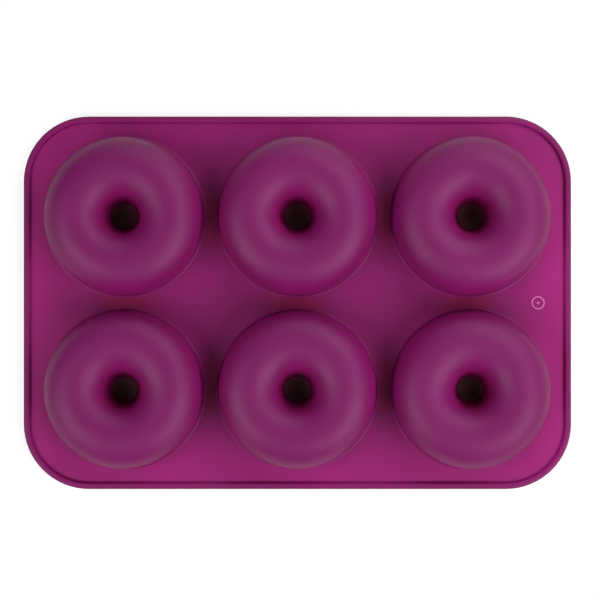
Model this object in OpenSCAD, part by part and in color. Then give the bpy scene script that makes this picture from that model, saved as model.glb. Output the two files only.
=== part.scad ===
// Pan for six ring doughnuts, moulded in one piece from silicone and resting on its rim, cups upward.
// The wall keeps one thickness: it lies flat as the sheet, turns up into each ring-shaped cup, goes over
// the crown and down into the middle, and closes there as the floor of a blind hole. Only the rim round
// the sheet is thicker. Below, each cup is an open ring-shaped hollow that is filled with batter.

/* [Layout] */
// Cups along the length
columns = 3; // [1:1:5]
// Cups across the width
rows = 2; // [2:1:4]
// Gap between the feet of neighbouring cups
cup_gap = 7; // [4.5:0.5:20]
// Distance from the end cups to the outline
end_border = 10.5; // [8:0.5:30]
// Distance from the side cups to the outline
side_border = 10; // [8:0.5:30]
// Radius of the outline's corners
corner_r = 31; // [8:1:45]

/* [Wall] */
// Thickness of the sheet and of the cups
wall = 1.6; // [0.8:0.1:2.4]

/* [Cups] */
// Outside diameter of a cup where its wall meets the sheet
cup_d = 75; // [60:0.5:95]
// Height of a cup above the sheet
cup_h = 26.5; // [20:0.5:36]
// Diameter of the blind hole where its wall meets the floor
hole_d = 12.6; // [8:0.2:20]
// Lean of a cup's outer wall from upright, in degrees
outer_draft = 3; // [0:0.5:6]
// Lean of the hole's wall from upright, in degrees
hole_draft = 9; // [0:0.5:12]
// Radius of the hollow corner between a cup and the sheet
foot_round = 1.2; // [0.4:0.1:1.8]
// Radius of the hollow corner at the floor of the hole
floor_round = 1.2; // [0.4:0.1:3]

/* [Rim] */
// Width of the rim
rim_w = 3.3; // [3:0.1:6]
// Height of the rim, which stands equally proud of both faces of the sheet
rim_h = 5; // [3.6:0.1:8]
// Rounding of the rim's edges
rim_round = 1.25; // [0.4:0.05:1.4]
// Radius of the hollow corner between the rim and the sheet
rim_foot_round = 0.4; // [0.2:0.05:0.6]

/* [Moulding mark] */
// Outside diameter of the raised ring
mark_d = 6.2; // [4:0.1:8]
// Width of the ring's line
mark_line = 0.5; // [0.3:0.1:1]
// Diameter of the pip in its middle
pip_d = 1.1; // [0.6:0.1:1.6]
// Height of the ring and the pip above the sheet
mark_h = 0.3; // [0.2:0.1:0.8]
// Distance from the middle of the mark to the end of the outline
mark_inset = 15.6; // [10:0.2:18]

/* [Hidden] */
$fn = 96;

silicone = [0.49, 0.16, 0.39];

// How far the straight steps of an outline's arc may lie inside the true arc
arc_sag = 0.04;

cup_r = cup_d / 2;
hole_r = hole_d / 2;
pitch = cup_d + cup_gap;
length = columns * pitch - cup_gap + 2 * end_border;
width = rows * pitch - cup_gap + 2 * side_border;

// The middle line of the rim, which is also where the sheet ends
edge_l = length - rim_w;
edge_w = width - rim_w;
edge_r = corner_r - rim_w / 2;

// Heights of the sheet's two faces above the surface that the rim rests on. The rim stands equally far
// above and below them, and its two bends share that height.
under_z = (rim_h - wall) / 2;
face_z = under_z + wall;
rim_edge = min(rim_round, 0.75 * under_z);
rim_foot = min(rim_foot_round, under_z - rim_edge);

// The crown of a cup is one arc that both leaning walls run into without a corner
lean = tan(outer_draft) + tan(hole_draft);
spread = 1 / cos(outer_draft) + 1 / cos(hole_draft);
crown_round = (cup_r - hole_r - cup_h * lean) / (spread - lean);
crown_z = cup_h - crown_round;
crown_r = cup_r - crown_z * tan(outer_draft) - crown_round / cos(outer_draft);

// How far out of a corner a hollow round of radius r ends on the flat, beside a wall that leans away
function round_reach(r, draft) = r * (1 - sin(draft)) / cos(draft);

// Middles of a cup's three bends in its half section: distance from the cup's axis, height above the sheet
crown = [crown_r, crown_z];
foot = [cup_r + round_reach(foot_round, outer_draft), foot_round];
floor_bend = [hole_r - round_reach(floor_round, hole_draft), floor_round];

// Directions from the middle of the crown in which its arc ends at the two walls
outer_end = outer_draft;
hole_end = 180 - hole_draft;

function polar(r, angle) = r * [cos(angle), sin(angle)];

function arc(middle, r, from, to) =
    let (steps = ceil(abs(to - from) / (2 * acos(1 - arc_sag / r))))
    [for (i = [0:steps]) middle + polar(r, from + (to - from) * i / steps)];

// Outline of a rectangle with round corners, about its middle
function round_rect(l, w, r) =
    let (x = l / 2 - r, y = w / 2 - r)
    concat(
        arc([x, y], r, 0, 90),
        arc([-x, y], r, 90, 180),
        arc([-x, -y], r, 180, 270),
        arc([x, -y], r, 270, 360)
    );

// Half section of a cup's wall, from the axis of the hole to where the wall lies flat in the sheet:
// outward over the upper face of the wall, then back under its lower face
module cup_section() {
    polygon(concat(
        [[0, 0]],
        arc(floor_bend, floor_round, 270, hole_end + 180),
        arc(crown, crown_round, hole_end, outer_end),
        arc(foot, foot_round, outer_end + 180, 270),
        arc(foot, foot_round + wall, 270, outer_end + 180),
        arc(crown, crown_round - wall, outer_end, hole_end),
        arc(floor_bend, floor_round + wall, hole_end + 180, 270),
        [[0, -wall]]
    ));
}

module cup() {
    translate([0, 0, face_z])
        rotate_extrude()
            cup_section();
}

module at_cups() {
    for (i = [0:columns - 1], j = [0:rows - 1])
        translate([(i - (columns - 1) / 2) * pitch, (j - (rows - 1) / 2) * pitch, 0])
            children();
}

// The sheet stops where each cup's wall turns up out of it
module sheet() {
    translate([0, 0, under_z])
        linear_extrude(wall)
            difference() {
                polygon(round_rect(edge_l, edge_w, edge_r));
                at_cups()
                    circle(foot.x);
            }
}

// Carries a section round the rim's middle line: four straight sides, each with the corner after it
module round_edge() {
    for (i = [0:3]) {
        reach = i % 2 == 0 ? edge_l / 2 : edge_w / 2;
        half_run = (i % 2 == 0 ? edge_w / 2 : edge_l / 2) - edge_r;
        rotate(90 * i) {
            translate([reach, half_run, 0])
                rotate([90, 0, 0])
                    linear_extrude(2 * half_run)
                        children();
            translate([reach - edge_r, half_run, 0])
                rotate_extrude(angle = 90)
                    translate([edge_r, 0])
                        children();
        }
    }
}

// Section of the rim about the middle of its width and height, with a hollow corner above and below the
// sheet that it grows out of
module rim_section() {
    edge = [rim_w, rim_h] / 2 - [rim_edge, rim_edge];
    root = [rim_w, wall] / 2 + [rim_foot, rim_foot];
    polygon(concat(
        arc([-root.x, root.y], rim_foot, 270, 360),
        arc([-edge.x, edge.y], rim_edge, 180, 90),
        arc(edge, rim_edge, 90, 0),
        arc([edge.x, -edge.y], rim_edge, 360, 270),
        arc(-edge, rim_edge, 270, 180),
        arc(-root, rim_foot, 0, 90)
    ));
}

module rim() {
    translate([0, 0, rim_h / 2])
        round_edge()
            rim_section();
}

// Raised ring and pip, rooted in the sheet at one end of it, in the gap beside the last row
module moulding_mark() {
    root = wall / 2;
    translate([length / 2 - mark_inset, (rows / 2 - 1) * pitch, face_z - root])
        linear_extrude(root + mark_h) {
            difference() {
                circle(mark_d / 2);
                circle(mark_d / 2 - mark_line);
            }
            circle(pip_d / 2);
        }
}

module doughnut_mould() {
    color(silicone) {
        sheet();
        rim();
        at_cups()
            cup();
        moulding_mark();
    }
}

doughnut_mould();
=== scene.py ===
import math

import bpy
import numpy as np
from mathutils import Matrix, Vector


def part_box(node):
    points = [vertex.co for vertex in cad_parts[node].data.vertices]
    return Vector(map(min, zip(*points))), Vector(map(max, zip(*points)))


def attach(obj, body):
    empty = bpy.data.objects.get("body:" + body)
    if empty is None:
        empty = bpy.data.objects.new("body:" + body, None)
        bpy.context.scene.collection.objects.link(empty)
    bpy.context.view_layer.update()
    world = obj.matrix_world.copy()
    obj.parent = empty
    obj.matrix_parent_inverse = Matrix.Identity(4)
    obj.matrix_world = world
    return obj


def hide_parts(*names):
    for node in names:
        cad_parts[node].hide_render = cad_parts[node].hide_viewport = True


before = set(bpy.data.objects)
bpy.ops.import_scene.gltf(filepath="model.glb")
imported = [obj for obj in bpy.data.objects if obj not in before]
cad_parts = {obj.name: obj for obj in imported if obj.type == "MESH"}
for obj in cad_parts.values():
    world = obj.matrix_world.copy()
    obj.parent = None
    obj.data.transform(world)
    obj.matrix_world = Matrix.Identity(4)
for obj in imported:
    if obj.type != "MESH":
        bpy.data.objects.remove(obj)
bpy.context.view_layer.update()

# The pan: one moulding of satin silicone rubber, with one wall thickness but for its rim. A thin sheet
# turns up into each ring-shaped cup, goes over the crown and down into the middle, and closes there as the
# floor of a blind hole. The sheet's edge is a thicker bead that the pan rests on. Sizes are in millimetres.
MM = 0.001
COLUMNS, ROWS, PITCH = 3, 2, 82.0
WALL = 1.6
CUP_R, HOLE_R = 37.5, 6.3
OUTER_DRAFT, HOLE_DRAFT = 3.0, 9.0
FOOT_ROUND, FLOOR_ROUND = 1.2, 1.2
CORNER_R, RIM_W, RIM_H, RIM_ROUND, RIM_FILLET = 31.0, 3.3, 5.0, 1.25, 0.4
UNDER_Z = (RIM_H - WALL) / 2
FACE_Z = UNDER_Z + WALL

low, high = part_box("doughnut_mould")
PAN_REACH = np.array([high.x - low.x, high.y - low.y]) / 2 / MM
CUP_H = high.z / MM - FACE_Z
SHEET_REACH = PAN_REACH - RIM_W - RIM_FILLET
SHEET_CORNER_R = CORNER_R - RIM_W - RIM_FILLET

# Steps of the arcs in the cup's and the bead's sections
FLOOR_STEPS, CROWN_STEPS, FOOT_STEPS = 5, 30, 6
BEAD_STEPS, FILLET_STEPS = 7, 5

# Degrees between the rays that divide the sheet round a cup, and the shares of a ray, from the cup's foot to
# the border, at which the sheet has its points
RAY_STEP = 3.0
SHEET_STEPS = (0.08, 0.25, 0.4, 0.6, 0.8, 1)

# Decimals to which two points or two directions that are the same agree, and a length that counts as none
POINT_DECIMALS, ANGLE_DECIMALS = 4, 9
TINY = 1e-6

# Painted light and shade, as a number at points of the silicone that sets its colour: -2 at the floor of a
# hole and rising up its low wall, painted shade; 0 on a cup's crown, below 0 down its outer flank as painted
# shade, and rising at its foot as a painted light line; 1 in the open sheet and over 2 beside the rim,
# painted light that stands in for light coming back through the thin sheet from the table under it; on the
# bead 2 at its inner corner, 0.65 on its top and below 0 on its outer side and lower face, painted light and
# shade. A section has it at some of its points, by their number: it runs evenly between them and stays at the
# last.
# A cup's points count from its axis outward, the bead's from the upper face of the sheet outward.
CUP_PAINTED_LIGHT = {0: -2, 2: -1.8, 6: -1, 7: -0.8, 11: -0.4, 16: 0, 27: 0, 33: -0.4, 41: -0.3, 42: 0.65, 44: 0.9}
BEAD_PAINTED_LIGHT = {0: 2, 5: 1.8, 9: 0.65, 14: 0.65, 16: -0.3}

# Painted light: up to RIM_GLOW_REACH from the rim the sheet's painted light is stronger, more at the ends of
# the pan than along its sides
RIM_GLOW_REACH, END_GLOW, SIDE_GLOW = 22.0, 1.3, 0.65

# Painted shade: in the gap between two cups the sheet's painted light loses up to GAP_SHADE: all of it where
# a ray in the sheet is as short as the first SHORT_RAY and none from the second on, but none as near the rim
# as the first AWAY_FROM_RIM and all of it from the second on
GAP_SHADE, SHORT_RAY, AWAY_FROM_RIM = 0.7, (2.4, 10.4), (19.5, 34.5)


def bend(middle, radius, start, end, steps, hollow=False):
    """One arc of a section, as rows of (out, up, facing out, facing up, painted light). The points are middle
    + radius times (cos a, sin a), with a even from start to end in degrees. The surface faces along
    (cos a, sin a), or the other way in a hollow bend. The painted light is 0 until lit fills it in."""
    turn = np.radians(np.linspace(start, end, steps + 1))
    way = np.stack([np.cos(turn), np.sin(turn)], axis=1)
    return np.hstack([np.array(middle) + radius * way, -way if hollow else way, 0 * way[:, :1]])


def lit(section, light):
    """A section with its last column filled in: the painted light at the numbered points, and evenly
    between them.
    """
    section[:, -1] = np.interp(np.arange(len(section)), list(light), list(light.values()))
    return section


def carried(out, up, facing_out, facing_up, light, start, way):
    """Grid of a section carried along a line: at each step of the line the point is start + out * way, at the
    height up. Each grid point holds x, y, z, the three parts of the way it faces, and its painted light."""
    parts = [start[..., 0] + out * way[:, 0], start[..., 1] + out * way[:, 1], up]
    parts += [facing_out * way[:, 0], facing_out * way[:, 1], facing_up, light]
    return np.stack(np.broadcast_arrays(*parts), axis=-1)


def cup_section(depth):
    """Half section of a cup from the axis of its hole outward, at depth under the outer skin: hollow bend at
    the floor, crown, hollow bend at the foot. The crown is the circle of height CUP_H that both leaning walls
    touch, and the two conditions are linear in its radius."""
    outer, hole = math.radians(OUTER_DRAFT), math.radians(HOLE_DRAFT)
    lean = math.tan(outer) + math.tan(hole)
    spread = 1 / math.cos(outer) + 1 / math.cos(hole)
    crown_round = (CUP_R - HOLE_R - CUP_H * lean) / (spread - lean)
    crown_z = CUP_H - crown_round
    crown_r = CUP_R - crown_z * math.tan(outer) - crown_round / math.cos(outer)
    foot_r = CUP_R + FOOT_ROUND * (1 - math.sin(outer)) / math.cos(outer)
    floor_r = HOLE_R - FLOOR_ROUND * (1 - math.sin(hole)) / math.cos(hole)
    section = np.vstack([
        [(0, -depth, 0, 1, 0)],
        bend((floor_r, FLOOR_ROUND), FLOOR_ROUND + depth, 270, 360 - HOLE_DRAFT, FLOOR_STEPS, hollow=True),
        bend((crown_r, crown_z), crown_round - depth, 180 - HOLE_DRAFT, OUTER_DRAFT, CROWN_STEPS),
        bend((foot_r, FOOT_ROUND), FOOT_ROUND + depth, 180 + OUTER_DRAFT, 270, FOOT_STEPS, hollow=True),
    ])
    section[:, 1] += FACE_Z
    return lit(section, CUP_PAINTED_LIGHT)


def bead_section():
    """Section of the bead at the sheet's edge, from the sheet's upper face over the bead to its lower face,
    with distances taken outward from the line where its hollow corners start."""
    inner, outer, top = RIM_FILLET + RIM_ROUND, RIM_FILLET + RIM_W - RIM_ROUND, RIM_H - RIM_ROUND
    section = np.vstack([
        bend((0, FACE_Z + RIM_FILLET), RIM_FILLET, 270, 360, FILLET_STEPS, hollow=True),
        bend((inner, top), RIM_ROUND, 180, 90, BEAD_STEPS),
        bend((outer, top), RIM_ROUND, 90, 0, BEAD_STEPS),
        bend((outer, RIM_ROUND), RIM_ROUND, 0, -90, BEAD_STEPS),
        bend((inner, RIM_ROUND), RIM_ROUND, 270, 180, BEAD_STEPS),
        bend((0, UNDER_Z - RIM_FILLET), RIM_FILLET, 0, 90, FILLET_STEPS, hollow=True),
    ])
    return lit(section, BEAD_PAINTED_LIGHT)


def share_rays(column, row):
    """Rays from a cup's axis to the border of its share of the sheet, as directions and lengths. The border
    lies halfway to each neighbour, and is the rim's inner line elsewhere. The rays run evenly between the
    border's corners, so that neighbouring shares meet point on point."""
    cup = np.array([column - (COLUMNS - 1) / 2, row - (ROWS - 1) / 2]) * PITCH
    first, last = np.array([column, row]) == 0, np.array([column, row]) == (COLUMNS - 1, ROWS - 1)
    back = np.where(first, SHEET_REACH + cup, PITCH / 2)
    ahead = np.where(last, SHEET_REACH - cup, PITCH / 2)

    keys, round_corner = [], None
    for sx, sy in ((1, 1), (-1, 1), (-1, -1), (1, -1)):
        x, y = (ahead if sx > 0 else back)[0], (ahead if sy > 0 else back)[1]
        corner = [(x, y)]
        if (last if sx > 0 else first)[0] and (last if sy > 0 else first)[1]:
            round_corner = np.array([sx, sy]), np.array([x, y]) - SHEET_CORNER_R
            corner = [(x, y - SHEET_CORNER_R), (x - SHEET_CORNER_R, y)][::sx * sy]
        keys += [math.atan2(sy * y, sx * x) % (2 * math.pi) for x, y in corner]

    spans = [(start, end + 2 * math.pi * (end < start)) for start, end in zip(keys, keys[1:] + keys[:1])]
    turn = np.concatenate([
        np.linspace(start, end, round(math.degrees(end - start) / RAY_STEP), endpoint=False)
        for start, end in spans
    ])
    way = np.stack([np.cos(turn), np.sin(turn)], axis=1)
    lengths = (np.where(way > 0, ahead, back) / np.maximum(abs(way), TINY)).min(axis=1)
    if round_corner:
        side, middle = round_corner
        along = way @ (side * middle)
        to_arc = along + np.sqrt(np.maximum(along**2 - middle @ middle + SHEET_CORNER_R**2, 0))
        in_corner = (way * lengths[:, None] * side > middle + TINY).all(axis=1)
        lengths = np.where(in_corner, to_arc, lengths)
    return cup, way, lengths


def cup_share(column, row, depth):
    """Grid of one cup and its share of the sheet: the cup's section turned about its axis, then the flat
    sheet as steps along each ray from the cup's foot to the border. The painted light is lowered in the gaps
    as painted shade, and multiplied by one plus the painted glow, which fades evenly with the distance from
    the rim."""
    cup, way, lengths = share_rays(column, row)
    section = cup_section(depth)
    foot_r, foot_z = section[-1, :2]
    steps = np.array(SHEET_STEPS)[:, None]
    out = np.vstack([section[:, :1] + 0 * lengths, foot_r + steps * (lengths - foot_r)])
    rest = np.vstack([section[:, 1:], np.tile([foot_z, 0, 1, 1], (len(steps), 1))])
    grid = carried(out, *rest.T[:, :, None], cup, way)

    to_rim = SHEET_REACH - abs(grid[..., :2])
    painted_rim_glow = (np.clip(1 - to_rim / RIM_GLOW_REACH, 0, 1) * (END_GLOW, SIDE_GLOW)).max(axis=-1)
    narrow = np.interp(lengths - foot_r, SHORT_RAY, (1, 0))
    away = np.interp(to_rim[len(section):].min(axis=-1), AWAY_FROM_RIM, (0, 1))
    grid[len(section):, :, -1] -= GAP_SHADE * narrow * away
    grid[..., -1] *= 1 + painted_rim_glow
    return grid


def bead_strip(sheet):
    """Grid of the bead: its section carried round the sheet's border, through the border's own points.
    Outward is square to a side of the sheet, or along the radius of a corner's arc."""
    place = np.vstack([share[-1, :, :2] for share in sheet])
    beyond = np.maximum(abs(place) - (SHEET_REACH - SHEET_CORNER_R), 0)
    on_border = abs(np.hypot(*beyond.T) - SHEET_CORNER_R) < TINY
    place, outward = place[on_border], (np.sign(place) * beyond / SHEET_CORNER_R)[on_border]
    turn = np.round(np.arctan2(place[:, 1], place[:, 0]), ANGLE_DECIMALS)
    order = np.unique(turn, return_index=True)[1]
    return carried(*bead_section().T[:, :, None], place[order], outward[order])


def skin_mesh(name, grids):
    """Mesh of closed grids whose rows run outward and whose columns run round anticlockwise. Points that
    coincide are joined, and each point keeps the exact way it faces and its painted light. At a pole, where a
    row of a grid shrinks to one point, the four-sided faces become triangles."""
    corners, count = [], 0
    for grid in grids:
        rows, columns = grid.shape[:2]
        number = count + np.arange(rows * columns).reshape(rows, columns)
        after = np.roll(number, -1, axis=1)
        corners.append(np.stack([number[:-1], number[1:], after[1:], after[:-1]], axis=-1).reshape(-1, 4))
        count += rows * columns
    points = np.vstack([grid.reshape(-1, grid.shape[-1]) for grid in grids])
    rounded = np.round(points[:, :3], POINT_DECIMALS)
    _, first, joined = np.unique(rounded, axis=0, return_index=True, return_inverse=True)
    points, corners = points[first], joined.ravel()[np.vstack(corners)]
    at_pole, past_pole = corners[:, 0] == corners[:, 3], corners[:, 1] == corners[:, 2]
    triangles = np.vstack([corners[at_pole][:, :3], corners[past_pole][:, [0, 1, 3]]])
    mesh = bpy.data.meshes.new(name)
    mesh.from_pydata(points[:, :3] * MM, [], corners[~(at_pole | past_pole)].tolist() + triangles.tolist())
    mesh.shade_smooth()
    mesh.normals_split_custom_set_from_vertices(points[:, 3:6])
    painted_light_and_shade = mesh.attributes.new("painted_light_and_shade", "FLOAT", "POINT")
    painted_light_and_shade.data.foreach_set("value", points[:, 6].astype(np.float32))
    piece = bpy.data.objects.new(name, mesh)
    bpy.context.collection.objects.link(piece)
    return piece


# The underside faces the other way, and has the plain tone of the cups all over
TURNED_OVER = (1, 1, 1, -1, -1, -1, 0)
cells = [(column, row) for column in range(COLUMNS) for row in range(ROWS)]
upper = [cup_share(column, row, 0) for column, row in cells]
lower = [cup_share(column, row, WALL)[::-1] * TURNED_OVER for column, row in cells]
mould = skin_mesh("doughnut_mould_skin", upper + lower + [bead_strip(upper)])

# Colour of the silicone at each level of painted light and shade, so most of it is painted light or shade:
# the floor of a hole and the low wall of the hole, painted shade; the cups; the deep red of the narrow gaps,
# painted shade; the bead, with less painted light than the sheet; the open sheet, painted light from the
# table under it; and the sheet beside the rim, stronger painted light
PAINTED_TONES = {
    -2: (0.110, 0.0002, 0.016),
    -1: (0.200, 0.0006, 0.075),
    0: (0.230, 0.0044, 0.136),
    0.3: (0.330, 0.0010, 0.107),
    0.65: (0.288, 0.0030, 0.162),
    1: (0.322, 0.0040, 0.176),
    2.5: (0.455, 0.0100, 0.237),
}


def noise(tree, place, scale, detail):
    """Soft noise at a place, with about scale lumps to the metre."""
    node = tree.nodes.new("ShaderNodeTexNoise")
    node.inputs["Scale"].default_value = scale
    node.inputs["Detail"].default_value = detail
    tree.links.new(place, node.inputs["Vector"])
    return node.outputs["Fac"]


def mapped(tree, value, before, after):
    """A value carried evenly from the range before to the range after, and held inside it."""
    node = tree.nodes.new("ShaderNodeMapRange")
    for socket, end in zip(("From Min", "From Max", "To Min", "To Max"), (*before, *after)):
        node.inputs[socket].default_value = end
    tree.links.new(value, node.inputs["Value"])
    return node.outputs["Result"]


def silicone_material(name, painted_tones, gloss=0.0):
    """Satin silicone, a little see-through: its colour follows the painted light and shade at each point,
    through a ramp of colours. The colour drifts softly by a twentieth, light goes a fraction of a millimetre
    into it, and the skin has a fine matt grain over a faint unevenness. The gloss is taken off its roughness."""
    material = bpy.data.materials.new(name)
    material.use_nodes = True
    tree = material.node_tree
    nodes, link = tree.nodes, tree.links.new
    shader = nodes["Principled BSDF"]
    shader.inputs["IOR"].default_value = 1.43
    shader.inputs["Specular IOR Level"].default_value = 0.37
    shader.inputs["Subsurface Weight"].default_value = 1.0
    shader.inputs["Subsurface Radius"].default_value = (1.0, 0.3, 0.7)
    shader.inputs["Subsurface Scale"].default_value = 0.5 * MM
    place = nodes.new("ShaderNodeTexCoord").outputs["Object"]

    # The attribute of painted light and shade, which picks the colour
    through = nodes.new("ShaderNodeAttribute")
    through.attribute_name = "painted_light_and_shade"
    least, most = min(painted_tones), max(painted_tones)
    ramp = nodes.new("ShaderNodeValToRGB")
    for light in sorted(painted_tones)[1:-1]:
        ramp.color_ramp.elements.new((light - least) / (most - least))
    for stop, light in zip(ramp.color_ramp.elements, sorted(painted_tones)):
        stop.color = (*painted_tones[light], 1)
    along_ramp = mapped(tree, through.outputs["Fac"], before=(least, most), after=(0, 1))
    link(along_ramp, ramp.inputs["Fac"])

    drift = mapped(tree, noise(tree, place, scale=22, detail=3), before=(0.3, 0.7), after=(0.95, 1.05))
    tinted = nodes.new("ShaderNodeVectorMath")
    tinted.operation = "SCALE"
    link(ramp.outputs["Color"], tinted.inputs["Vector"])
    link(drift, tinted.inputs["Scale"])
    link(tinted.outputs["Vector"], shader.inputs["Base Color"])

    bloom = noise(tree, place, scale=60, detail=5)
    roughness = mapped(tree, bloom, before=(0, 1), after=(0.47 - gloss, 0.55 - gloss))
    link(roughness, shader.inputs["Roughness"])

    grain_bump = nodes.new("ShaderNodeBump")
    grain_bump.inputs["Strength"].default_value = 0.10
    grain_bump.inputs["Distance"].default_value = 0.05 * MM
    link(noise(tree, place, scale=1600, detail=2), grain_bump.inputs["Height"])
    link(grain_bump.outputs["Normal"], shader.inputs["Normal"])
    return material


mould.data.materials.append(silicone_material("silicone", PAINTED_TONES))
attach(mould, "root")
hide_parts("doughnut_mould")

# The moulding mark: a small raised ring with a pip in it, left by the tool at one end of the sheet. It is
# the same silicone, 0.3 mm proud and glossier, and its pale colour is a painted highlight on its thin lines.
# Its root is sunk in the sheet.
MARK_INSET = 15.6
MARK_R, MARK_LINE, PIP_R, MARK_H, MARK_ROUND, MARK_ROOT = 3.1, 0.5, 0.55, 0.3, 0.12, 0.2
MARK_STEPS, MARK_BEND_STEPS = 72, 4
# Pale colour of the mark: a painted highlight
MARK_PAINTED_HIGHLIGHT = (0.84, 0.26, 0.60)
MARK_GLOSS = 0.2
mark_middle = np.array([PAN_REACH[0] - MARK_INSET, 0])
top, root = FACE_Z + MARK_H - MARK_ROUND, FACE_Z - MARK_ROOT
ring_line = np.vstack([
    [(MARK_R - MARK_LINE, root, -1, 0, 0)],
    bend((MARK_R - MARK_LINE + MARK_ROUND, top), MARK_ROUND, 180, 90, MARK_BEND_STEPS),
    bend((MARK_R - MARK_ROUND, top), MARK_ROUND, 90, 0, MARK_BEND_STEPS),
    [(MARK_R, root, 1, 0, 0), (MARK_R - MARK_LINE, root, -1, 0, 0)],
])
pip = np.vstack([
    [(0, top + MARK_ROUND, 0, 1, 0)],
    bend((PIP_R - MARK_ROUND, top), MARK_ROUND, 90, 0, MARK_BEND_STEPS),
    [(PIP_R, root, 1, 0, 0), (0, root, 0, -1, 0)],
])
turn = np.linspace(0, 2 * np.pi, MARK_STEPS, endpoint=False)
round_way = np.stack([np.cos(turn), np.sin(turn)], axis=1)
ring_and_pip = [carried(*part.T[:, :, None], mark_middle, round_way) for part in (ring_line, pip)]
mark = skin_mesh("moulding_mark", ring_and_pip)
mark.data.materials.append(silicone_material("silicone_mark", {0: MARK_PAINTED_HIGHLIGHT, 1: MARK_PAINTED_HIGHLIGHT}, MARK_GLOSS))
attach(mark, "root")
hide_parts("doughnut_mould")

# The floor: a plain white table. The camera and reflections see it white, and it keeps the pan's soft
# shadow. Its glow grows from beside the pan outward, between the two distances, in metres.
FLOOR_HALF = 6.0
GLOW_DISTANCES, GLOW_STRENGTHS = (0.4, 1.2), (0.75, 1)
floor_mesh = bpy.data.meshes.new("floor")
floor_corners = FLOOR_HALF * np.array([(-1, -1, 0), (1, -1, 0), (1, 1, 0), (-1, 1, 0)])
floor_mesh.from_pydata(floor_corners, [], [(0, 1, 2, 3)])
floor = bpy.data.objects.new("floor", floor_mesh)
bpy.context.collection.objects.link(floor)


def white_floor():
    """Matt pale surface, with a plain glow that only the camera and reflections see, so that it is white for
    them and gives the pan no more light."""
    material = bpy.data.materials.new("white_floor")
    material.use_nodes = True
    tree = material.node_tree
    nodes, link = tree.nodes, tree.links.new
    matt = nodes["Principled BSDF"]
    matt.inputs["Base Color"].default_value = (0.35, 0.35, 0.35, 1)
    matt.inputs["Roughness"].default_value = 0.9
    matt.inputs["Specular IOR Level"].default_value = 0.2

    seen = nodes.new("ShaderNodeLightPath")
    either = nodes.new("ShaderNodeMath")
    either.operation = "MAXIMUM"
    link(seen.outputs["Is Camera Ray"], either.inputs[0])
    link(seen.outputs["Is Glossy Ray"], either.inputs[1])
    away = nodes.new("ShaderNodeVectorMath")
    away.operation = "LENGTH"
    link(nodes.new("ShaderNodeTexCoord").outputs["Object"], away.inputs[0])
    amount = nodes.new("ShaderNodeMath")
    amount.operation = "MULTIPLY"
    link(either.outputs["Value"], amount.inputs[0])
    by_distance = mapped(tree, away.outputs["Value"], GLOW_DISTANCES, GLOW_STRENGTHS)
    link(by_distance, amount.inputs[1])

    glow = nodes.new("ShaderNodeEmission")
    both = nodes.new("ShaderNodeAddShader")
    link(amount.outputs["Value"], glow.inputs["Strength"])
    link(matt.outputs["BSDF"], both.inputs[0])
    link(glow.outputs["Emission"], both.inputs[1])
    link(both.outputs["Shader"], nodes["Material Output"].inputs["Surface"])
    return material


floor_mesh.materials.append(white_floor())

# The surroundings: a dark room, which gives the pan no light of its own. The camera sees it white, and
# reflections see a faint white in it.
ROOM_IN_REFLECTIONS = 0.18
world = bpy.data.worlds.new("room")
bpy.context.scene.world = world
world.use_nodes = True
nodes, link = world.node_tree.nodes, world.node_tree.links.new
sight = nodes.new("ShaderNodeLightPath")
strength = nodes.new("ShaderNodeMath")
strength.operation = "MULTIPLY_ADD"
strength.inputs[1].default_value = ROOM_IN_REFLECTIONS
link(sight.outputs["Is Glossy Ray"], strength.inputs[0])
link(sight.outputs["Is Camera Ray"], strength.inputs[2])
nodes["Background"].inputs["Color"].default_value = (1, 1, 1, 1)
link(strength.outputs["Value"], nodes["Background"].inputs["Strength"])


# The lamps: a large soft box on either side, a low one beyond the far side, and a small one close by at the
# far right. They light the pan at a plain level and leave broad soft bands on the crowns.
def soft_light(name, turn, lean, size, power, distance=1.1):
    """A square soft box that looks at the pan from the side turn, in degrees from +X, leaning lean degrees
    from straight above, with size and distance in metres and power in watts."""
    lamp = bpy.data.lights.new(name, "AREA")
    lamp.shape, lamp.size, lamp.energy = "SQUARE", size, power
    light = bpy.data.objects.new(name, lamp)
    turn, lean = math.radians(turn), math.radians(lean)
    light.location = (
        distance * math.sin(lean) * math.cos(turn),
        distance * math.sin(lean) * math.sin(turn),
        distance * math.cos(lean),
    )
    light.rotation_euler = (0, lean, turn)
    bpy.context.collection.objects.link(light)


soft_light("soft_box_right", turn=-35, lean=50, size=0.85, power=9.0)
soft_light("soft_box_left", turn=209, lean=50, size=0.85, power=7.6)
soft_light("soft_box_far", turn=82, lean=68, size=0.8, power=3.1)
soft_light("soft_box_far_right", turn=42, lean=52, size=0.4, power=1.4, distance=0.6)

# The camera: it looks straight down from just under a metre, a little off the pan's middle. FIELD is the
# width that it sees at the height of the sheet.
CAMERA_X, CAMERA_Y, CAMERA_Z = 1.24, 1.33, 965.0
FIELD = 285.2
SENSOR = 36
camera_data = bpy.data.cameras.new("camera")
camera_data.sensor_width = SENSOR
camera_data.lens = SENSOR * (CAMERA_Z - FACE_Z) / FIELD
camera = bpy.data.objects.new("camera", camera_data)
camera.location = (CAMERA_X * MM, CAMERA_Y * MM, CAMERA_Z * MM)
bpy.context.collection.objects.link(camera)
bpy.context.scene.camera = camera

bpy.context.scene.view_settings.view_transform = "Standard"
